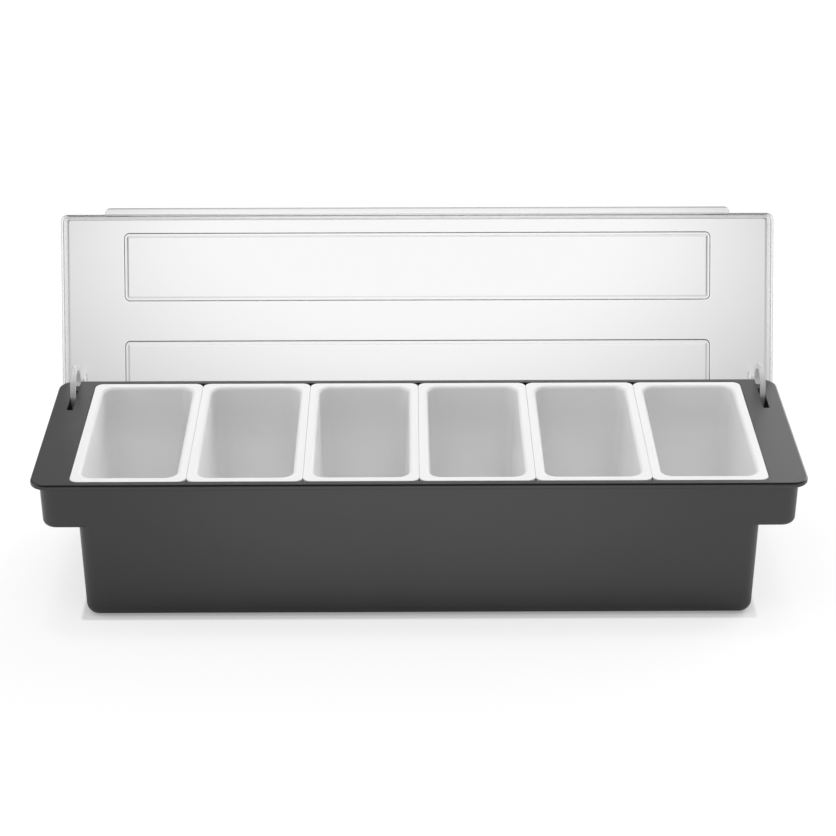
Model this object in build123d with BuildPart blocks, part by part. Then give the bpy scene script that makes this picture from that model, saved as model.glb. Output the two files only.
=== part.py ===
from build123d import *
from math import cos, hypot, radians, sin, sqrt, tan
import os

# Six-compartment bar garnish tray: a moulded base with hollow end grips, six lift-out inserts
# side by side in one pocket, and a clear lid on two goosenecks that reach through slots.
# Frame: +X along the tray, +Y to the rear, +Z up, origin on the table under the middle.
# The lid stands open at rest, leaning back behind the rear rim.

# Overall sizes, mm. The length follows from the row of inserts and the deck beyond them.
tray_depth = 155.0
tray_height = 102.0
end_deck_length = 25.35

# Base shell
wall = 2.0
shell_draft = 1.0
rim_overhang = 4.0
rim_edge_height = 3.6
rim_corner_radius = 11.0
rim_top_round = 1.3
rim_under_round = 0.9
tub_corner_radius = 10.0
tub_bottom_round = 8.0
ledge_thickness = 2.4

# End grips
grip_end_overhang = 5.0
grip_height = 34.5
grip_bottom_round = 4.0
grip_inner_round = 1.5
grip_lip = 4.5

# Inserts
insert_count = 6
insert_pitch = 74.9
insert_gap = 0.1
space_under_inserts = 20.0
insert_wall = 1.4
insert_draft = 2.5
insert_corner_radius = 5.5
flange_width = 5.0
flange_thickness = 2.0
flange_edge_round = 0.3
mouth_round = 2.2
insert_mouth_radius = 8.0
insert_bottom_round = 7.0
rim_strip = 5.3
seat_clearance = 0.4
seat_gap = 0.2
seat_overlap = 4.8

# Lid
lid_end_inset = 1.0
lid_edge_inset = 2.85
lid_height = 15.5
lid_thickness = 2.0
lid_draft = 4.5
lid_corner_radius = 5.0
lid_top_round = 1.6
lid_inner_round = 1.0
lid_foot_round = 0.5
lid_rest_gap = 0.3
rear_skirt_height = 5.0
lip_end_margin = 31.0
lip_reach = 4.4
lip_thickness = 1.8
lip_corner_radius = 3.8
lip_edge_round = 0.6
panel_end_margin = 42.2
panel_depth = 47.9
panel_spacing = 76.0
panel_wall_offset = 2.4
panel_slope_width = 0.5
panel_step = 1.5
panel_corner_radius = 3.7
panel_edge_round = 0.5

# Hinge
lid_lean = 23.0
pivot_from_rear = 17.9
pivot_below_deck = 12.2
pin_radius = 2.0
pin_fit = 0.08
pin_engagement = 1.8
gooseneck_from_end = 12.1
gooseneck_thickness = 3.4
gooseneck_outer_radius = 15.5
gooseneck_width = 3.5
gooseneck_boss_radius = 4.2
gooseneck_root_width = 5.0
slot_side_clearance = 0.4
slot_end_clearance = 0.8
hinge_bar_width = 7.2
rear_notch_length = 8.7
bearing_radius = 5.2
bearing_thickness = 2.0
skirt_relief_clearance = 0.6
root_rib_thickness = 1.0
root_rib_depth = 3.0
root_rib_length = 17.0
root_rib_offset = 3.6

# Shared by every cut
overrun = 1.0

# Places worked out from the sizes above
deck_z = tray_height
insert_span = insert_count * insert_pitch - insert_gap
tray_length = insert_span + 2 * end_deck_length
shell_depth = tray_depth - 2 * rim_overhang
grip_length_overall = tray_length - 2 * grip_end_overhang
flange_depth = tray_depth - 2 * rim_strip
flange_length = insert_pitch - insert_gap
opening_length = insert_span - 2 * seat_overlap
opening_depth = flange_depth - 2 * seat_overlap
tub_length = opening_length + 2 * wall
tub_inner_depth = shell_depth - 2 * wall
recess_depth = flange_thickness + seat_gap
ledge_z = deck_z - recess_depth
shell_top_z = deck_z - wall
grip_floor_z = deck_z - grip_height

lid_length = tray_length - 2 * lid_end_inset
lid_depth = tray_depth - 2 * lid_edge_inset
lip_length = lid_length - 2 * lip_end_margin
panel_length = lid_length - 2 * panel_end_margin

gooseneck_x = tray_length / 2 - gooseneck_from_end
pivot_y = tray_depth / 2 - pivot_from_rear
pivot_z = deck_z - pivot_below_deck
open_angle = 90.0 + lid_lean
slot_width = gooseneck_thickness + 2 * slot_side_clearance
notch_start_y = tray_depth / 2 - rear_notch_length
slot_rear_y = notch_start_y - hinge_bar_width

# The gooseneck is a circular band whose free end carries the pin. Its middle line runs
# through the pin, so when the lid lies closed its centre is one mean radius in front.
gooseneck_inner_radius = gooseneck_outer_radius - gooseneck_width
gooseneck_mean_radius = gooseneck_outer_radius - gooseneck_width / 2
gooseneck_centre_y = pivot_y - gooseneck_mean_radius
gooseneck_centre_z = pivot_z
pin_length = gooseneck_thickness + 2 * slot_side_clearance + 2 * pin_engagement


def foremost_slot_point():
    """The furthest forward that the band reaches in the deck's thickness, over the lid's travel."""
    reach = pivot_y
    for step in range(int(open_angle) + 1):
        turned = radians(180.0 - step)
        centre_y = pivot_y + gooseneck_mean_radius * cos(turned)
        centre_z = pivot_z + gooseneck_mean_radius * sin(turned)
        for level in (deck_z, shell_top_z):
            offset = level - centre_z
            if abs(offset) < gooseneck_outer_radius:
                reach = min(reach, centre_y - sqrt(gooseneck_outer_radius**2 - offset**2))
    return reach


slot_front_y = foremost_slot_point() - slot_end_clearance
slot_length = slot_rear_y - slot_front_y
slot_middle_y = (slot_rear_y + slot_front_y) / 2

os.makedirs("parts", exist_ok=True)

# Base: outer blocks, kept apart so that the hollows can follow them
with BuildPart() as tub_block:
    with BuildSketch(Plane.XY.offset(shell_top_z)):
        RectangleRounded(tub_length, shell_depth, tub_corner_radius)
    extrude(amount=shell_top_z, dir=(0, 0, -1), taper=shell_draft)
    fillet(tub_block.edges().group_by(Axis.Z)[0], tub_bottom_round)


def grip_block(inset, top_z, bottom_z, bottom_round):
    """One block across both end grips, drawn in by inset from the outer walls."""
    draft_shift = (shell_top_z - top_z) * tan(radians(shell_draft))
    with BuildPart() as block:
        with BuildSketch(Plane.XY.offset(top_z)):
            RectangleRounded(
                grip_length_overall - 2 * (inset + draft_shift),
                shell_depth - 2 * (inset + draft_shift),
                tub_corner_radius - inset,
            )
        extrude(amount=top_z - bottom_z, dir=(0, 0, -1), taper=shell_draft)
        if bottom_round:
            fillet(block.edges().group_by(Axis.Z)[0], bottom_round)
    return block.part


grip_outer = grip_block(0, shell_top_z, grip_floor_z, grip_bottom_round)
with BuildPart() as grip_hollow:
    add(grip_block(wall, shell_top_z, grip_floor_z + wall, grip_inner_round))
    add(tub_block.part, mode=Mode.SUBTRACT)
with BuildPart() as grip_mouth:
    add(grip_block(wall + grip_lip, grip_floor_z + wall + overrun, grip_floor_z - overrun, 0))
    add(tub_block.part, mode=Mode.SUBTRACT)

# Base: the tub's inside, below the ledge that the inserts hang from
with BuildPart() as tub_hollow:
    hollow_top_z = ledge_z - ledge_thickness
    with BuildSketch(Plane.XY.offset(hollow_top_z)):
        RectangleRounded(opening_length, tub_inner_depth, tub_corner_radius - wall)
    extrude(amount=hollow_top_z - wall, dir=(0, 0, -1), taper=shell_draft)
    fillet(tub_hollow.edges().group_by(Axis.Z)[0], tub_bottom_round - wall)


with BuildPart() as base:
    add(tub_block.part)
    add(grip_outer)
    with BuildSketch(Plane.XY.offset(deck_z - rim_edge_height)):
        RectangleRounded(tray_length, tray_depth, rim_corner_radius)
    extrude(amount=rim_edge_height)
    rim_edges = base.faces().sort_by(Axis.Z)[-1].outer_wire().edges()
    fillet(rim_edges, rim_top_round)
    under_edges = base.edges().filter_by_position(
        Axis.Z, deck_z - rim_edge_height, deck_z - rim_edge_height
    )
    outer_limit = tray_depth / 2 - rim_overhang / 2
    side_limit = tray_length / 2 - rim_overhang / 2
    rim_under_edges = [
        edge
        for edge in under_edges
        if abs(edge.center().Y) > outer_limit or abs(edge.center().X) > side_limit
    ]
    fillet(rim_under_edges, rim_under_round)
    add(tub_hollow.part, mode=Mode.SUBTRACT)
    add(grip_hollow.part, mode=Mode.SUBTRACT)
    add(grip_mouth.part, mode=Mode.SUBTRACT)
    # Opening in the deck, and the shallow seat round it that the flanges lie in
    with BuildSketch(Plane.XY.offset(deck_z)):
        RectangleRounded(opening_length, opening_depth, tub_corner_radius - wall)
    extrude(amount=-(recess_depth + ledge_thickness), mode=Mode.SUBTRACT)
    with BuildSketch(Plane.XY.offset(deck_z)):
        RectangleRounded(
            insert_span + 2 * seat_clearance,
            flange_depth + 2 * seat_clearance,
            insert_corner_radius + seat_clearance,
        )
    extrude(amount=-recess_depth, mode=Mode.SUBTRACT)
    # Slots for the goosenecks, and the notches behind the bars that they curl round
    with BuildSketch(Plane.XY.offset(deck_z)):
        with Locations((gooseneck_x, slot_middle_y), (-gooseneck_x, slot_middle_y)):
            Rectangle(slot_width, slot_length)
        notch_middle_y = notch_start_y + (rear_notch_length + overrun) / 2
        with Locations((gooseneck_x, notch_middle_y), (-gooseneck_x, notch_middle_y)):
            Rectangle(slot_width, rear_notch_length + overrun)
    extrude(amount=-rim_edge_height, mode=Mode.SUBTRACT)
    # Bearings under the deck, one each side of each gooseneck
    for side in (-1, 1):
        for flank in (-1, 1):
            near = side * gooseneck_x + flank * slot_width / 2
            with BuildSketch(Plane.YZ.offset(near)):
                with Locations((pivot_y, (pivot_z + shell_top_z) / 2)):
                    Rectangle(2 * bearing_radius, shell_top_z - pivot_z)
                with Locations((pivot_y, pivot_z)):
                    Circle(bearing_radius)
                    Circle(pin_radius + pin_fit, mode=Mode.SUBTRACT)
            extrude(amount=flank * bearing_thickness)
base.part.label = "base"
export_step(base.part, "parts/base.step")

# Inserts: a drafted cup with rounded corners and a flat flange, made once and set in a row
body_length = flange_length - 2 * flange_width
body_depth = flange_depth - 2 * flange_width
insert_top_z = deck_z - recess_depth + seat_gap + flange_thickness
insert_height = insert_top_z - wall - space_under_inserts
body_height = insert_height - flange_thickness
mouth_length = body_length - 2 * insert_wall
mouth_depth = body_depth - 2 * insert_wall

with BuildPart() as insert_hollow:
    with BuildSketch(Plane.XY):
        RectangleRounded(mouth_length, mouth_depth, insert_mouth_radius)
    extrude(amount=insert_height - insert_wall, dir=(0, 0, -1), taper=insert_draft)
    fillet(insert_hollow.edges().group_by(Axis.Z)[0], insert_bottom_round - insert_wall)

with BuildPart() as insert_cup:
    with BuildSketch(Plane.XY.offset(-flange_thickness)):
        RectangleRounded(body_length, body_depth, insert_mouth_radius + insert_wall)
    extrude(amount=body_height, dir=(0, 0, -1), taper=insert_draft)
    fillet(insert_cup.edges().group_by(Axis.Z)[0], insert_bottom_round)
    with BuildSketch(Plane.XY.offset(-flange_thickness)):
        RectangleRounded(flange_length, flange_depth, insert_corner_radius)
    extrude(amount=flange_thickness)
    flange_edges = insert_cup.faces().sort_by(Axis.Z)[-1].outer_wire().edges()
    fillet(flange_edges, flange_edge_round)
    add(insert_hollow.part, mode=Mode.SUBTRACT)
    mouth_wire = insert_cup.faces().sort_by(Axis.Z)[-1].inner_wires()[0]
    fillet(mouth_wire.edges(), mouth_round)

for number in range(insert_count):
    place_x = (number - (insert_count - 1) / 2) * insert_pitch
    with BuildPart() as insert:
        with Locations((place_x, 0, insert_top_z)):
            add(insert_cup.part)
    insert.part.label = f"insert_{number + 1}"
    export_step(insert.part, f"parts/insert_{number + 1}.step")

# Lid: drawn closed on the rim, then turned about the hinge to the open rest
lid_foot_z = deck_z + lid_rest_gap
lid_top_z = lid_foot_z + lid_height
sheet_under_z = lid_top_z - lid_thickness
lid_draft_shift = lid_height * tan(radians(lid_draft))

# The open lid's skirt stands behind the rounded corner of the rim: the relief in it is a circle
# about the pivot, past the furthest point of the rim between the skirt's inner face and its end
rim_corner_x = tray_length / 2 - rim_corner_radius
skirt_inner_x = lid_length / 2 - lid_thickness - lid_draft_shift
rim_corner_run = max(skirt_inner_x - rim_corner_x, 0)
rim_reach_y = tray_depth / 2 - rim_corner_radius + sqrt(rim_corner_radius**2 - rim_corner_run**2)
skirt_relief_radius = hypot(rim_reach_y - pivot_y, pivot_below_deck) + skirt_relief_clearance


def panel_steps(base_z, inset):
    """The two long raised panels, each with a steep border, drawn in by inset, on the level base_z."""
    with BuildPart() as steps:
        for panel_y in (-panel_spacing / 2, panel_spacing / 2):
            for level, drawn_in in ((0, inset), (panel_step, inset + panel_slope_width)):
                with BuildSketch(Plane.XY.offset(base_z + level)):
                    with Locations((0, panel_y)):
                        RectangleRounded(
                            panel_length - 2 * drawn_in,
                            panel_depth - 2 * drawn_in,
                            panel_corner_radius - drawn_in,
                        )
            loft()
        fillet(steps.edges().group_by(Axis.Z)[-1], panel_edge_round)
    return steps.part


def panel_foot_edges(part, level):
    """The edges at a level that run round the feet of the two panels."""
    return [
        edge
        for edge in part.edges().filter_by_position(Axis.Z, level, level)
        if abs(edge.center().X) < panel_length / 2 + panel_edge_round
        and abs(edge.center().Y) < (panel_spacing + panel_depth) / 2 + panel_edge_round
    ]


with BuildPart() as lid_hollow:
    with BuildSketch(Plane.XY.offset(lid_foot_z)):
        RectangleRounded(
            lid_length - 2 * lid_thickness,
            lid_depth - 2 * lid_thickness,
            lid_corner_radius - lid_thickness,
        )
    extrude(amount=lid_height - lid_thickness, taper=lid_draft)
    fillet(lid_hollow.edges().group_by(Axis.Z)[-1], lid_inner_round)

with BuildPart() as finger_lip:
    lip_root = lid_thickness + lip_corner_radius / 2
    with BuildSketch(Plane.XY.offset(lid_foot_z)):
        with Locations((0, (lip_root - lip_reach - lid_depth) / 2)):
            RectangleRounded(lip_length, lip_reach + lip_root, lip_corner_radius)
    extrude(amount=lip_thickness)
    lip_faces = finger_lip.faces().sort_by(Axis.Z)
    fillet(lip_faces[0].edges() + lip_faces[-1].edges(), lip_edge_round)
    add(lid_hollow.part, mode=Mode.SUBTRACT)

with BuildPart() as closed_lid:
    with BuildSketch(Plane.XY.offset(lid_foot_z)):
        RectangleRounded(lid_length, lid_depth, lid_corner_radius)
    extrude(amount=lid_height, taper=lid_draft)
    fillet(closed_lid.faces().sort_by(Axis.Z)[-1].outer_wire().edges(), lid_top_round)
    add(panel_steps(lid_top_z, 0))
    add(lid_hollow.part, mode=Mode.SUBTRACT)
    add(panel_steps(sheet_under_z, panel_wall_offset), mode=Mode.SUBTRACT)
    for level in (lid_top_z, sheet_under_z):
        fillet(panel_foot_edges(closed_lid.part, level), panel_edge_round)
    foot_edges = closed_lid.edges().filter_by_position(Axis.Z, lid_foot_z, lid_foot_z)
    fillet(foot_edges, lid_foot_round)
    # The skirt is short at the rear and rounded off at its rear ends, so that it clears the rim
    rear_cut_height = lid_height - lid_thickness - rear_skirt_height
    with BuildSketch(Plane.XY.offset(lid_foot_z)):
        with Locations((0, lid_depth / 2)):
            Rectangle(lid_length + 2 * overrun, 2 * (lid_thickness + lid_draft_shift + overrun))
    extrude(amount=rear_cut_height, mode=Mode.SUBTRACT)
    with BuildSketch(Plane.YZ.offset(-lid_length / 2 - overrun)):
        with Locations((pivot_y, pivot_z)):
            Circle(skirt_relief_radius)
    extrude(amount=lid_length + 2 * overrun, mode=Mode.SUBTRACT)
    add(finger_lip.part)
    # Goosenecks with their pins, and the rib beside each root
    for side in (-1, 1):
        start_x = side * gooseneck_x - gooseneck_thickness / 2
        with BuildSketch(Plane.YZ.offset(start_x)):
            with Locations((gooseneck_centre_y, gooseneck_centre_z)):
                Circle(gooseneck_outer_radius)
                Circle(gooseneck_inner_radius, mode=Mode.SUBTRACT)
            quarter = gooseneck_outer_radius + overrun
            with Locations((gooseneck_centre_y, gooseneck_centre_z)):
                Rectangle(quarter, quarter, align=(Align.MIN, Align.MIN), mode=Mode.SUBTRACT)
            with Locations((pivot_y, pivot_z)):
                Circle(gooseneck_boss_radius)
            root_foot_z = gooseneck_centre_z + gooseneck_inner_radius + gooseneck_width / 4
            with Locations((gooseneck_centre_y, root_foot_z)):
                Rectangle(
                    gooseneck_root_width,
                    sheet_under_z - root_foot_z,
                    align=(Align.MAX, Align.MIN),
                )
        extrude(amount=gooseneck_thickness)
        with BuildSketch(Plane.YZ.offset(side * gooseneck_x - pin_length / 2)):
            with Locations((pivot_y, pivot_z)):
                Circle(pin_radius)
        extrude(amount=pin_length)
        rib_x = side * (gooseneck_x - root_rib_offset)
        with BuildSketch(Plane.XY.offset(sheet_under_z)):
            with Locations((rib_x, gooseneck_centre_y)):
                Rectangle(root_rib_thickness, root_rib_length)
        extrude(amount=-root_rib_depth)

with BuildPart() as lid:
    hinge_axis = Axis((0, pivot_y, pivot_z), (1, 0, 0))
    add(closed_lid.part.rotate(hinge_axis, -open_angle))
lid.part.label = "lid"
export_step(lid.part, "parts/lid.step")
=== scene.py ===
"""Looks of a bar garnish tray: the finish of every piece, a pale studio and the photograph's camera."""

import logging
import math
from dataclasses import dataclass, field
from enum import Enum
from typing import Any, Mapping, Optional, Tuple, Union

import bpy
from mathutils import Matrix, Vector


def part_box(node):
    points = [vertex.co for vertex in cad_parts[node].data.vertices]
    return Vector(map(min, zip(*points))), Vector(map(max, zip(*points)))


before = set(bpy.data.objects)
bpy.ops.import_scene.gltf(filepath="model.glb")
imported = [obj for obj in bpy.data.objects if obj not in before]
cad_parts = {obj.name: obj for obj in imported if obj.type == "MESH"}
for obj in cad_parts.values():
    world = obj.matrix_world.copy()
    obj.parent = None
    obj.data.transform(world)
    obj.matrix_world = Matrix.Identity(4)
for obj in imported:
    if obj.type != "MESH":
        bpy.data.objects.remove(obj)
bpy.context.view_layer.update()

PHOTO_SIDE = 836
SENSOR_WIDTH = 36.0
BEVEL_SAMPLES = 8
CROSS_SCRATCH_SHARE = 0.6
WHITE = (1.0, 1.0, 1.0, 1.0)

Colour = Tuple[float, float, float, float]
Span = Tuple[float, float]
Input = Union["Value", bpy.types.NodeSocket, float, Tuple[float, ...]]

log = logging.getLogger("garnish_tray")


class Ray(Enum):
    """Kinds of ray that the studio answers on their own, by the output's name on a Light Path node."""

    CAMERA = "Is Camera Ray"
    GLOSSY = "Is Glossy Ray"
    TRANSMISSION = "Is Transmission Ray"


class Value:
    """A number in a node graph. Python's operators on it add Math nodes."""

    def __init__(self, graph: "Graph", socket: bpy.types.NodeSocket) -> None:
        """Wraps an output socket.

        Args:
            graph: The graph that the socket's node stands in.
            socket: The output that carries the number.
        """
        self.graph = graph
        self.socket = socket

    def _math(self, operation: str, first: Input, second: Input) -> "Value":
        """Adds one Math node.

        Args:
            operation: The Math node's operation.
            first: Its first number.
            second: Its second number.

        Returns:
            The node's result.
        """
        made = self.graph.node("ShaderNodeMath", {"operation": operation}, {0: first, 1: second})
        return Value(self.graph, made.outputs[0])

    def __add__(self, other: Input) -> "Value":
        """This number plus another."""
        return self._math("ADD", self, other)

    def __radd__(self, other: Input) -> "Value":
        """Another number plus this one."""
        return self._math("ADD", other, self)

    def __sub__(self, other: Input) -> "Value":
        """This number less another."""
        return self._math("SUBTRACT", self, other)

    def __rsub__(self, other: Input) -> "Value":
        """Another number less this one."""
        return self._math("SUBTRACT", other, self)

    def __mul__(self, other: Input) -> "Value":
        """This number times another."""
        return self._math("MULTIPLY", self, other)

    def __rmul__(self, other: Input) -> "Value":
        """Another number times this one."""
        return self._math("MULTIPLY", other, self)

    def absolute(self) -> "Value":
        """This number without its sign."""
        return self._math("ABSOLUTE", self, 0.0)

    def at_least(self, low: float) -> "Value":
        """This number, no less than a given one."""
        return self._math("MAXIMUM", self, low)

    def at_most_one(self) -> "Value":
        """This number, no more than one."""
        return self._math("MINIMUM", self, 1.0)

    def ramp(self, low: float, high: float, start: float = 0.0, end: float = 1.0) -> "Value":
        """Maps this number smoothly from one range to another.

        Args:
            low: The number that maps to start.
            high: The number that maps to end.
            start: The result at low and beyond.
            end: The result at high and beyond.

        Returns:
            The mapped number.
        """
        made = self.graph.node(
            "ShaderNodeMapRange",
            {"interpolation_type": "SMOOTHSTEP"},
            {"Value": self, "From Min": low, "From Max": high, "To Min": start, "To Max": end},
        )
        return Value(self.graph, made.outputs["Result"])


class Graph:
    """The node tree of one material or of the world."""

    def __init__(self, tree: bpy.types.NodeTree) -> None:
        """Empties a node tree and takes it over.

        Args:
            tree: The tree to fill.
        """
        self.tree = tree
        self.tree.nodes.clear()

    def node(
        self,
        kind: str,
        settings: Optional[Mapping[str, Any]] = None,
        inputs: Optional[Mapping[Union[str, int], Input]] = None,
    ) -> bpy.types.Node:
        """Adds one node.

        Args:
            kind: The node's type.
            settings: Its own settings, set before its sockets.
            inputs: Numbers, tuples or links for its sockets, by name or place.

        Returns:
            The new node.
        """
        made = self.tree.nodes.new(kind)
        for name, setting in (settings or {}).items():
            setattr(made, name, setting)
        for name, given in (inputs or {}).items():
            socket = made.inputs[name]
            if isinstance(given, Value):
                self.tree.links.new(given.socket, socket)
            elif isinstance(given, bpy.types.NodeSocket):
                self.tree.links.new(given, socket)
            else:
                socket.default_value = given
        return made

    def place(self, stretch: Tuple[float, float, float] = (1.0, 1.0, 1.0)) -> bpy.types.NodeSocket:
        """The point being shaded in the piece's own frame, in metres.

        Args:
            stretch: How much each axis is drawn out, so that a pattern runs along another one.

        Returns:
            A vector socket.
        """
        coordinates = self.node("ShaderNodeTexCoord").outputs["Object"]
        scaled = self.node(
            "ShaderNodeVectorMath", {"operation": "MULTIPLY"}, {0: coordinates, 1: stretch}
        )
        return scaled.outputs["Vector"]

    def axis(self, name: str) -> Value:
        """One coordinate of the point being shaded, in metres.

        Args:
            name: X, Y or Z.

        Returns:
            The coordinate.
        """
        split = self.node("ShaderNodeSeparateXYZ", None, {0: self.place()})
        return Value(self, split.outputs[name])

    def noise(
        self,
        size: float,
        detail: float = 2.0,
        roughness: float = 0.5,
        stretch: Tuple[float, float, float] = (1.0, 1.0, 1.0),
    ) -> Value:
        """A soft random pattern from 0 to 1.

        Args:
            size: How far apart its blotches are, in metres.
            detail: How many finer layers it has.
            roughness: How strong the finer layers are.
            stretch: How much each axis is drawn out.

        Returns:
            The pattern.
        """
        made = self.node(
            "ShaderNodeTexNoise",
            {"noise_dimensions": "3D"},
            {
                "Vector": self.place(stretch),
                "Scale": 1.0 / size,
                "Detail": detail,
                "Roughness": roughness,
            },
        )
        return Value(self, made.outputs["Fac"])

    def blend(self, share: Input, first: Input, second: Input) -> bpy.types.NodeSocket:
        """Mixes two colours.

        Args:
            share: How much of the second colour shows.
            first: The colour at a share of 0.
            second: The colour at a share of 1.

        Returns:
            A colour socket.
        """
        made = self.node("ShaderNodeMix", {"data_type": "RGBA"}, {0: share, 6: first, 7: second})
        return made.outputs[2]

    def soft_edges(self, radius: float) -> bpy.types.NodeSocket:
        """A normal that rounds the piece's edges.

        Args:
            radius: Radius of the rounding, in metres.

        Returns:
            A normal socket.
        """
        made = self.node("ShaderNodeBevel", {"samples": BEVEL_SAMPLES}, {"Radius": radius})
        return made.outputs["Normal"]

    def grazing(self, normal: bpy.types.NodeSocket) -> Value:
        """How nearly the surface is seen edge on.

        Args:
            normal: The surface's normal.

        Returns:
            0 seen straight on, 1 seen edge on.
        """
        made = self.node("ShaderNodeLayerWeight", None, {"Blend": 0.5, "Normal": normal})
        return Value(self, made.outputs["Facing"])

    def bump(
        self, height: Value, depth: float, over: Optional[bpy.types.NodeSocket] = None
    ) -> bpy.types.NodeSocket:
        """Turns a height pattern into a normal.

        Args:
            height: The pattern, from 0 to 1.
            depth: How deep it is, in metres.
            over: The normal that the pattern lies on, else the piece's own.

        Returns:
            A normal socket.
        """
        inputs = {"Strength": 1.0, "Distance": depth, "Height": height}
        if over is not None:
            inputs["Normal"] = over
        return self.node("ShaderNodeBump", None, inputs).outputs["Normal"]

    def hairlines(self, size: float, run: float, amount: float) -> Value:
        """Fine scratches that run along X and, fewer, along Y.

        Args:
            size: How far apart they are, in metres.
            run: How many times longer than that they are.
            amount: How much of the surface they cover, from 0 to 1.

        Returns:
            A mask, 1 on a scratch.
        """
        along = self.noise(size, 1.0, 0.5, (1.0 / run, 1.0, 1.0)).ramp(1.0 - amount, 1.0)
        across = self.noise(size, 1.0, 0.5, (1.0, 1.0 / run, 1.0)).ramp(1.0 - amount, 1.0)
        return (along + across * CROSS_SCRATCH_SHARE).at_most_one()

    def principled(self, inputs: Mapping[Union[str, int], Input]) -> bpy.types.NodeSocket:
        """Adds a Principled shader.

        Args:
            inputs: Numbers, tuples or links for its sockets.

        Returns:
            The shader.
        """
        return self.node("ShaderNodeBsdfPrincipled", None, inputs).outputs["BSDF"]

    def mix(
        self, share: Value, first: bpy.types.NodeSocket, second: bpy.types.NodeSocket
    ) -> bpy.types.NodeSocket:
        """Mixes two shaders.

        Args:
            share: How much of the second shader shows.
            first: The shader at a share of 0.
            second: The shader at a share of 1.

        Returns:
            The mixed shader.
        """
        return self.node("ShaderNodeMixShader", None, {0: share, 1: first, 2: second}).outputs[0]

    def surface(self, shader: bpy.types.NodeSocket, output: str) -> None:
        """Sends a shader to the tree's output.

        Args:
            shader: The shader's own output.
            output: The type of the output node.
        """
        self.node(output, None, {"Surface": shader})


def new_material(name: str) -> Tuple[bpy.types.Material, Graph]:
    """Makes an empty material.

    Args:
        name: The material's name.

    Returns:
        The material and the graph of its nodes.
    """
    material = bpy.data.materials.new(name)
    material.use_nodes = True
    return material, Graph(material.node_tree)


@dataclass(frozen=True)
class CharcoalPlastic:
    """Satin moulded plastic of the base: nearly black, with a fine spark texture and a painted shade line
    along the rim's rounded edge.
    """

    colour: Colour = (0.021, 0.021, 0.021, 1.0)
    cloud_colour: Colour = (0.025, 0.025, 0.025, 1.0)
    painted_edge_shade_colour: Colour = (0.004, 0.004, 0.004, 1.0)
    roughness: float = 0.34
    roughness_swing: float = 0.10
    specular: float = 0.65
    grain_size: float = 0.0006
    grain_depth: float = 0.00002
    cloud_size: float = 0.06
    cloud_span: Span = (0.35, 0.65)
    scratch_size: float = 0.0012
    scratch_run: float = 30.0
    scratch_cover: float = 0.28
    scratch_roughness: float = 0.08
    scratch_height: float = 0.5
    edge_height: float = 0.0014
    edge_fade: float = 0.2
    edge_top: Span = (0.00012, 0.00002)
    edge_cloud_span: Span = (0.2, 0.5)
    edge_least: float = 0.8

    def material(self, deck_z: float) -> bpy.types.Material:
        """Builds the finish.

        Args:
            deck_z: Height of the deck, whose rounded edge gets a painted shade line.

        Returns:
            The material.
        """
        made, graph = new_material("charcoal_plastic")
        clouds = graph.noise(self.cloud_size, detail=4.0, roughness=0.55)
        grain = graph.noise(self.grain_size, detail=3.0, roughness=0.6)
        scratches = graph.hairlines(self.scratch_size, self.scratch_run, self.scratch_cover)
        height = graph.axis("Z")
        # Painted shade: a dark line is painted along the rim's rounded top edge, standing in for the dark
        # surroundings it reflects; the clouds vary its strength.
        above = height.ramp(
            deck_z - (1 + self.edge_fade) * self.edge_height,
            deck_z - (1 - self.edge_fade) * self.edge_height,
        )
        below = height.ramp(deck_z - self.edge_top[0], deck_z - self.edge_top[1], 1.0, 0.0)
        edge = above * below * clouds.ramp(*self.edge_cloud_span, self.edge_least, 1.0)
        body = graph.blend(clouds.ramp(*self.cloud_span), self.colour, self.cloud_colour)
        colour = graph.blend(edge, body, self.painted_edge_shade_colour)
        swing = (clouds - 0.5) * self.roughness_swing
        roughness = self.roughness + swing + scratches * self.scratch_roughness
        normal = graph.bump(grain + scratches * self.scratch_height, self.grain_depth)
        shader = graph.principled(
            {
                "Base Color": colour,
                "Roughness": roughness,
                "Specular IOR Level": self.specular,
                "Normal": normal,
            }
        )
        graph.surface(shader, "ShaderNodeOutputMaterial")
        return made


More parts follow.
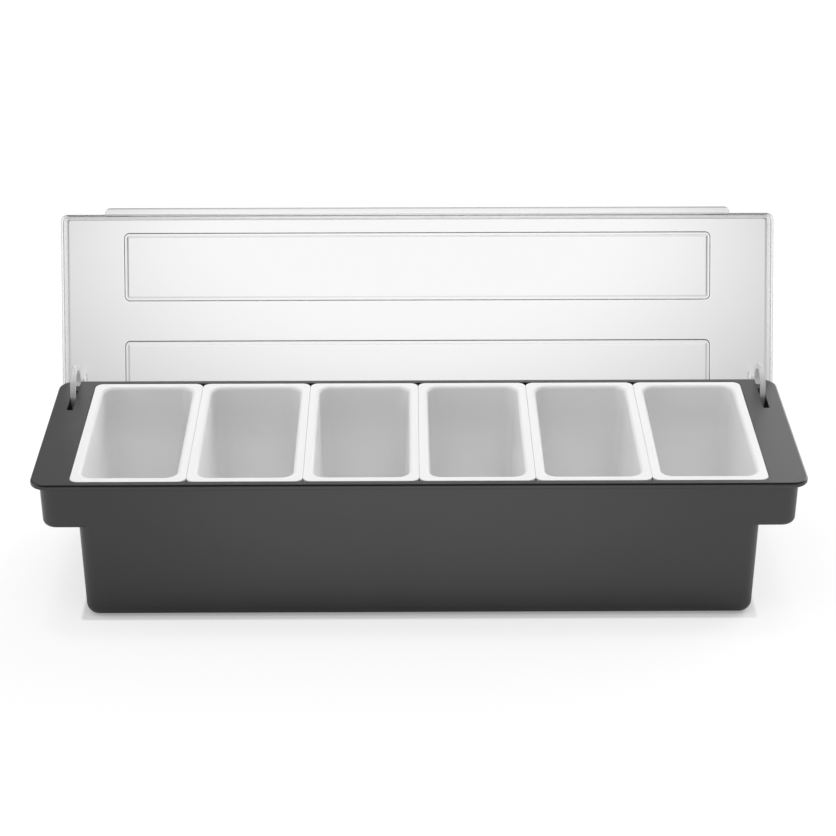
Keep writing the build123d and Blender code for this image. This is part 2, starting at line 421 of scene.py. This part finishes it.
@dataclass(frozen=True)
class WhitePlastic:
    """Food-safe white plastic of the inserts: soft gloss, random cloudy tone, scuffed low down, with painted
    shade darkening the cup walls towards the top and the flange tops.
    """

    colour: Colour = (0.985, 0.985, 0.985, 1.0)
    painted_shade_and_tone_colour: Colour = (0.87, 0.87, 0.87, 1.0)
    flange_painted_shade_colour: Colour = (0.88, 0.88, 0.88, 1.0)
    scuff_colour: Colour = (0.78, 0.78, 0.78, 1.0)
    roughness: float = 0.34
    roughness_swing: float = 0.10
    specular: float = 0.5
    grain_size: float = 0.0015
    grain_depth: float = 0.000012
    cloud_size: float = 0.05
    cloud_span: Span = (0.3, 0.7)
    cloud_tone_amount: float = 0.25
    painted_upper_shade_span: Span = (0.35, 0.80)
    painted_upper_shade_amount: float = 0.75
    scratch_size: float = 0.0011
    scratch_run: float = 22.0
    scratch_cover: float = 0.27
    scratch_height: float = 0.4
    scuff_least: float = 0.15
    scuff_cover: float = 0.35
    scuff_roughness: float = 0.15
    flange_height: float = 0.002

    def material(self, floor_z: float, top_z: float) -> bpy.types.Material:
        """Builds the finish.

        Args:
            floor_z: Height of the cups' floors, where spoons and tongs scuff them.
            top_z: Height of the flanges.

        Returns:
            The material.
        """
        made, graph = new_material("white_plastic")
        clouds = graph.noise(self.cloud_size, detail=3.0, roughness=0.5)
        grain = graph.noise(self.grain_size, detail=2.0, roughness=0.5)
        scratches = graph.hairlines(self.scratch_size, self.scratch_run, self.scratch_cover)
        height = graph.axis("Z")
        low_down = height.ramp(floor_z, (floor_z + top_z) / 2, 1.0, self.scuff_least)
        scuffs = scratches * low_down
        # Painted shade: the cup walls are painted darker towards the top, standing in for the light that
        # bounces brighter low in the cups; random cloud tone joins the same colour.
        shade_from, shade_to = (
            floor_z + share * (top_z - floor_z) for share in self.painted_upper_shade_span
        )
        painted_upper_shade = height.ramp(shade_from, shade_to) * self.painted_upper_shade_amount
        shade = painted_upper_shade + clouds.ramp(*self.cloud_span) * self.cloud_tone_amount
        cup = graph.blend(shade, self.colour, self.painted_shade_and_tone_colour)
        # Painted shade: the flange tops are painted darker than the cup walls, balancing the strong light
        # they catch from above.
        on_top = height.ramp(top_z - 2 * self.flange_height, top_z - self.flange_height)
        body = graph.blend(on_top, cup, self.flange_painted_shade_colour)
        colour = graph.blend(scuffs * self.scuff_cover, body, self.scuff_colour)
        swing = (clouds - 0.5) * self.roughness_swing
        roughness = self.roughness + swing + scuffs * self.scuff_roughness
        normal = graph.bump(grain - scratches * self.scratch_height, self.grain_depth)
        shader = graph.principled(
            {
                "Base Color": colour,
                "Roughness": roughness,
                "Specular IOR Level": self.specular,
                "Normal": normal,
            }
        )
        graph.surface(shader, "ShaderNodeOutputMaterial")
        return made


@dataclass(frozen=True)
class ClearPlastic:
    """Clear lid plastic with fine cleaning scratches, painted shade greying its edges and its finger lip, and
    a painted white sheen on its goosenecks.
    """

    colour: Colour = (0.82, 0.82, 0.82, 1.0)
    lip_painted_shade_colour: Colour = (0.77, 0.77, 0.77, 1.0)
    painted_edge_shade_colour: Colour = (0.40, 0.40, 0.40, 1.0)
    painted_sheen_colour: Colour = (0.80, 0.80, 0.80, 1.0)
    painted_sheen_amount: float = 0.55
    painted_sheen_roughness: float = 0.45
    roughness: float = 0.10
    roughness_swing: float = 0.06
    index: float = 1.49
    edge_round: float = 0.0012
    grazing_span: Span = (0.94, 1.0)
    cloud_size: float = 0.06
    ripple_size: float = 0.02
    ripple_depth: float = 0.00001
    scratch_size: float = 0.0012
    scratch_run: float = 30.0
    scratch_cover: float = 0.27
    scratch_roughness: float = 0.12
    lip_fade: float = 0.0004
    lip_tip: Span = (0.0026, 0.0030)
    lip_end: Span = (0.0010, 0.0006)
    hook_reach: Span = (0.0018, 0.0026)
    hook_fade: float = 0.001

    def material(
        self, lip_z: float, lip_end_x: float, hook_x: float, hook_y: float
    ) -> bpy.types.Material:
        """Builds the finish.

        Args:
            lip_z: Height, on the open lid, above which there is only the finger lip.
            lip_end_x: Distance of the lip's ends from the tray's middle.
            hook_x: Distance of the goosenecks' middles from the tray's middle.
            hook_y: Place, on the open lid, in front of which there are only the goosenecks.

        Returns:
            The material.
        """
        made, graph = new_material("clear_plastic")
        clouds = graph.noise(self.cloud_size, detail=3.0, roughness=0.5)
        ripples = graph.noise(self.ripple_size, detail=1.0, roughness=0.4)
        scratches = graph.hairlines(self.scratch_size, self.scratch_run, self.scratch_cover)
        swing = (clouds - 0.5) * self.roughness_swing
        roughness = self.roughness + swing + scratches * self.scratch_roughness
        rounded = graph.soft_edges(self.edge_round)
        # Painted shade: the sheet is painted grey where it is seen edge on, standing in for the darker edges
        # that refraction gives.
        grazing = graph.grazing(rounded).ramp(*self.grazing_span)
        height = graph.axis("Z")
        along = graph.axis("X")
        lip = height.ramp(lip_z, lip_z + self.lip_fade)
        tip = height.ramp(lip_z + self.lip_tip[0], lip_z + self.lip_tip[1])
        end = along.absolute().ramp(lip_end_x - self.lip_end[0], lip_end_x - self.lip_end[1])
        # Painted shade: a dark outline is painted along the finger lip's tip and ends.
        painted_outline_shade = (tip + lip * end).at_most_one()
        # Painted shade: the finger lip's face is painted greyer than the rest of the sheet.
        sheet = graph.blend(painted_outline_shade, graph.blend(lip, self.colour, self.lip_painted_shade_colour), self.painted_edge_shade_colour)
        normal = graph.bump(ripples, self.ripple_depth, rounded)
        clear = graph.principled(
            {
                "Base Color": graph.blend(grazing, sheet, self.painted_edge_shade_colour),
                "Roughness": roughness,
                "IOR": self.index,
                "Transmission Weight": 1.0,
                "Normal": normal,
            }
        )
        # Painted sheen: the goosenecks are partly given an opaque white finish, standing in for the bright
        # sheen they show.
        painted_sheen = graph.principled(
            {
                "Base Color": self.painted_sheen_colour,
                "Roughness": self.painted_sheen_roughness,
                "IOR": self.index,
                "Normal": normal,
            }
        )
        beside = (along * along - hook_x**2).absolute().ramp(*self.hook_reach, 1.0, 0.0)
        hook = beside * graph.axis("Y").ramp(hook_y - self.hook_fade, hook_y, 1.0, 0.0)
        mixed = graph.mix(hook * self.painted_sheen_amount, clear, painted_sheen)
        graph.surface(mixed, "ShaderNodeOutputMaterial")
        return made


def dress(node: str, material: bpy.types.Material) -> None:
    """Gives a CAD node its finish.

    Args:
        node: The node's name.
        material: The finish.
    """
    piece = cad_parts[node]
    piece.data.materials.clear()
    piece.data.materials.append(material)
    log.info("%s: %s, %d faces", node, material.name, len(piece.data.polygons))


@dataclass
class TrayBase:
    """The moulded base: deck, tub and end grips."""

    node: str = "base"
    finish: CharcoalPlastic = field(default_factory=CharcoalPlastic)

    def build(self) -> None:
        """Dresses the base."""
        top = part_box(self.node)[1]
        dress(self.node, self.finish.material(top.z))


@dataclass
class GarnishInserts:
    """The lift-out cups, all of one moulding."""

    count: int = 6
    wall: float = 0.0016
    finish: WhitePlastic = field(default_factory=WhitePlastic)

    def build(self) -> None:
        """Dresses every insert with one shared finish."""
        low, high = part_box("insert_1")
        material = self.finish.material(low.z + self.wall, high.z)
        for number in range(1, self.count + 1):
            dress(f"insert_{number}", material)


@dataclass
class HingedLid:
    """The clear lid with its panels, finger lip and goosenecks."""

    node: str = "lid"
    lip_height: float = 0.0036
    lip_end_x: float = 0.2180
    hook_x: float = 0.2379
    hook_y: float = 0.088
    finish: ClearPlastic = field(default_factory=ClearPlastic)

    def build(self) -> None:
        """Dresses the lid and lets light through it."""
        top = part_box(self.node)[1]
        material = self.finish.material(
            top.z - self.lip_height, self.lip_end_x, self.hook_x, self.hook_y
        )
        dress(self.node, material)
        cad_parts[self.node].visible_shadow = False


@dataclass(frozen=True)
class Glow:
    """One soft patch of light in the surround. Angles in degrees, the azimuth from the front to the right."""

    azimuth: float
    elevation: float
    level: float

    def direction(self) -> Tuple[float, float, float]:
        """Where the patch is seen from the tray."""
        azimuth, elevation = math.radians(self.azimuth), math.radians(self.elevation)
        flat = math.cos(elevation)
        return math.sin(azimuth) * flat, -math.cos(azimuth) * flat, math.sin(elevation)


@dataclass
class Studio:
    """A white floor in a dim room, lit by broad soft patches behind, beside and above the tray."""

    floor_reach: float = 8.0
    floor_colour: Colour = (0.80, 0.80, 0.80, 1.0)
    shadow_colour: Colour = (0.26, 0.26, 0.26, 1.0)
    contact_colour: Colour = (0.97, 0.97, 0.97, 1.0)
    contact_reach: float = 0.0045
    contact_dim: float = 0.55
    dim_reach: float = 0.034
    nearby_dim: float = 0.13
    foot_half: Span = (0.2200, 0.0717)
    floor_glow: float = 0.78
    sweep_glow: float = 0.97
    sweep_centre: Tuple[float, float, float] = (0.0, 0.68, 0.0)
    sweep_size: Tuple[float, float, float] = (0.50, 0.72, 1.0)
    sweep_span: Span = (0.35, 1.25)
    mirror_glow: float = 0.24
    mirror_centre_glow: float = 0.66
    mirror_centre_reach: float = 0.05
    mirror_front: Span = (-0.24, -0.08)
    mirror_least: float = 0.55
    room_level: float = 0.20
    glows: Tuple[Glow, ...] = (
        Glow(135.0, 12.0, 3.20),
        Glow(180.0, 30.0, 0.35),
        Glow(270.0, 12.0, 1.30),
        Glow(315.0, 12.0, 0.36),
        Glow(45.0, 12.0, 0.36),
        Glow(0.0, 90.0, 1.64),
    )
    glow_spread: float = 0.72
    ceiling_level: float = 0.03
    ceiling_direction: Tuple[float, float, float] = (0.0, -0.45, 0.89)
    ceiling_span: Span = (0.50, 0.90)
    backdrop_level: float = 1.2
    backdrop_direction: Tuple[float, float, float] = (0.0, 0.92, 0.39)
    backdrop_span: Span = (0.30, 0.90)

    def _rays(self, graph: Graph, kind: Ray) -> Value:
        """Tells one kind of ray from the others.

        Args:
            graph: The graph to add to.
            kind: The kind of ray.

        Returns:
            1 for those rays, else 0.
        """
        path = graph.node("ShaderNodeLightPath")
        return Value(graph, path.outputs[kind.value])

    def _facing(self, graph: Graph, direction: Tuple[float, float, float]) -> Value:
        """How nearly a direction in the surround matches a given one.

        Args:
            graph: The world's graph.
            direction: The direction to match.

        Returns:
            The cosine of the angle between them.
        """
        looked = graph.node("ShaderNodeTexCoord").outputs["Generated"]
        wanted = tuple(Vector(direction).normalized())
        dot = graph.node("ShaderNodeVectorMath", {"operation": "DOT_PRODUCT"}, {0: looked, 1: wanted})
        return Value(graph, dot.outputs["Value"])

    def _background(self, graph: Graph, level: float) -> bpy.types.NodeSocket:
        """An even white surround of one level."""
        inputs = {"Color": WHITE, "Strength": level}
        return graph.node("ShaderNodeBackground", None, inputs).outputs[0]

    def _world(self) -> None:
        """Makes the surround: white to the camera, and a soft glow in a dim room to everything else."""
        world = bpy.data.worlds.new("studio_surround")
        bpy.context.scene.world = world
        world.use_nodes = True
        graph = Graph(world.node_tree)
        dark, room, ceiling, white = (
            self._background(graph, level)
            for level in (0.0, self.room_level, self.ceiling_level, 1.0)
        )
        lit = room
        for glow in self.glows:
            share = self._facing(graph, glow.direction()).ramp(self.glow_spread, 1.0)
            patch = graph.mix(share, dark, self._background(graph, glow.level))
            lit = graph.node("ShaderNodeAddShader", None, {0: lit, 1: patch}).outputs[0]
        through = self._rays(graph, Ray.TRANSMISSION)
        mirrored = self._rays(graph, Ray.GLOSSY) * (1.0 - through)
        overhead = self._facing(graph, self.ceiling_direction).ramp(*self.ceiling_span)
        lit = graph.mix(overhead * mirrored, lit, ceiling)
        behind = self._facing(graph, self.backdrop_direction).ramp(*self.backdrop_span)
        backdrop = self._background(graph, self.backdrop_level)
        lit = graph.mix(behind * through, lit, backdrop)
        seen = graph.mix(self._rays(graph, Ray.CAMERA), lit, white)
        graph.surface(seen, "ShaderNodeOutputWorld")

    def _emission(self, graph: Graph, level: float) -> bpy.types.NodeSocket:
        """A glow of one level."""
        return graph.node("ShaderNodeEmission", None, {"Strength": level}).outputs[0]

    def _diffuse(self, graph: Graph, colour: Colour) -> bpy.types.NodeSocket:
        """A dull surface of one colour."""
        return graph.node("ShaderNodeBsdfDiffuse", None, {"Color": colour}).outputs[0]

    def _sweep(self, graph: Graph) -> Value:
        """Where the floor behind and before the tray glows for rays through the lid.

        Args:
            graph: The floor's graph.

        Returns:
            1 in the middle of each patch, 0 away from them.
        """
        folded = graph.node("ShaderNodeVectorMath", {"operation": "ABSOLUTE"}, {0: graph.place()})
        spot = graph.node(
            "ShaderNodeVectorMath",
            {"operation": "SUBTRACT"},
            {0: folded.outputs[0], 1: self.sweep_centre},
        )
        away = graph.node(
            "ShaderNodeVectorMath", {"operation": "DIVIDE"}, {0: spot.outputs[0], 1: self.sweep_size}
        )
        length = graph.node("ShaderNodeVectorMath", {"operation": "LENGTH"}, {0: away.outputs[0]})
        return Value(graph, length.outputs["Value"]).ramp(*self.sweep_span, 1.0, 0.0)

    def _near_foot(self, graph: Graph) -> Tuple[Value, Value]:
        """How near the floor is to the tray's foot.

        Args:
            graph: The floor's graph.

        Returns:
            Two masks that fall from 1 to 0, one within the contact's reach and one further out.
        """
        beyond = [
            (graph.axis(name).absolute() - half).at_least(0.0)
            for name, half in zip("XY", self.foot_half)
        ]
        distance = beyond[0] * beyond[0] + beyond[1] * beyond[1]
        return tuple(
            distance.ramp(0.0, reach**2, 1.0, 0.0) for reach in (self.contact_reach, self.dim_reach)
        )

    def _mirror(self, graph: Graph, nearby: Value) -> bpy.types.NodeSocket:
        """What the tray's gloss sees of the floor.

        Args:
            graph: The floor's graph.
            nearby: The mask of the floor near the tray's foot, which stays dark.

        Returns:
            A shader.
        """
        dark, sides, centre = (
            self._emission(graph, level)
            for level in (0.0, self.mirror_glow, self.mirror_centre_glow)
        )
        across = graph.axis("X")
        middle = (across * across).ramp(0.0, self.mirror_centre_reach, 1.0, 0.0)
        clear_of_tray = graph.axis("Y").ramp(*self.mirror_front, 1.0, self.mirror_least)
        glow = graph.mix(clear_of_tray, dark, graph.mix(middle, sides, centre))
        return graph.mix(nearby, glow, dark)

    def _floor_finish(self) -> bpy.types.Material:
        """Builds the floor's finish, which glows a little where it is seen but keeps its shadow.

        Returns:
            The material.
        """
        material, graph = new_material("studio_floor")
        touching, nearby = self._near_foot(graph)
        dimmed = touching * self.contact_dim + nearby * self.nearby_dim
        dark, sweep, glow = (
            self._emission(graph, level) for level in (0.0, self.sweep_glow, self.floor_glow)
        )
        plain, shaded, close = (
            self._diffuse(graph, colour)
            for colour in (self.floor_colour, self.shadow_colour, self.contact_colour)
        )
        camera, through, glossy = (
            self._rays(graph, kind) for kind in (Ray.CAMERA, Ray.TRANSMISSION, Ray.GLOSSY)
        )
        seen = graph.mix(dimmed, shaded, close)
        base = graph.mix((camera + through).at_most_one(), plain, seen)
        light = graph.mix(glossy, dark, self._mirror(graph, nearby))
        light = graph.mix(through, light, graph.mix(self._sweep(graph), dark, sweep))
        light = graph.mix(camera, light, graph.mix(dimmed, glow, dark))
        both = graph.node("ShaderNodeAddShader", None, {0: base, 1: light})
        graph.surface(both.outputs[0], "ShaderNodeOutputMaterial")
        return material

    def _floor(self) -> None:
        """Lays the floor."""
        reach = self.floor_reach
        corners = [(-reach, -reach, 0), (reach, -reach, 0), (reach, reach, 0), (-reach, reach, 0)]
        mesh = bpy.data.meshes.new("studio_floor")
        mesh.from_pydata(corners, [], [(0, 1, 2, 3)])
        floor = bpy.data.objects.new("studio_floor", mesh)
        mesh.materials.append(self._floor_finish())
        bpy.context.scene.collection.objects.link(floor)

    def build(self) -> None:
        """Makes the surround and the floor."""
        bpy.context.scene.view_settings.view_transform = "Standard"
        self._world()
        self._floor()
        log.info("studio: floor %.0f m wide, %d glows", 2 * self.floor_reach, len(self.glows))


@dataclass(frozen=True)
class PhotoCamera:
    """The photograph's camera, fitted to the tray's straight edges. Angles in degrees, places in metres."""

    place: Tuple[float, float, float] = (-0.007603, -1.321936, 0.772753)
    pitch: float = 26.599
    yaw: float = 0.311
    roll: float = -0.056
    focal_pixels: float = 2213.2

    def build(self) -> None:
        """Sets the camera up and makes it the scene's own."""
        pitch, yaw, roll = (math.radians(angle) for angle in (self.pitch, self.yaw, self.roll))
        ahead = Vector(
            (math.sin(yaw) * math.cos(pitch), math.cos(yaw) * math.cos(pitch), -math.sin(pitch))
        )
        level = Vector((math.cos(yaw), -math.sin(yaw), 0.0))
        upright = level.cross(ahead)
        right = math.cos(roll) * level + math.sin(roll) * upright
        up = math.cos(roll) * upright - math.sin(roll) * level
        data = bpy.data.cameras.new("photo_camera")
        data.sensor_width = SENSOR_WIDTH
        data.lens = self.focal_pixels / PHOTO_SIDE * SENSOR_WIDTH
        holder = bpy.data.objects.new("photo_camera", data)
        turn = Matrix((right, up, -ahead)).transposed()
        holder.matrix_world = Matrix.Translation(self.place) @ turn.to_4x4()
        bpy.context.scene.collection.objects.link(holder)
        bpy.context.scene.camera = holder


def main() -> None:
    """Dresses the tray, then sets up the studio and the camera."""
    logging.basicConfig(level=logging.INFO, format="%(name)s: %(message)s")
    TrayBase().build()
    GarnishInserts().build()
    HingedLid().build()
    Studio().build()
    PhotoCamera().build()


if __name__ == "__main__":
    main()
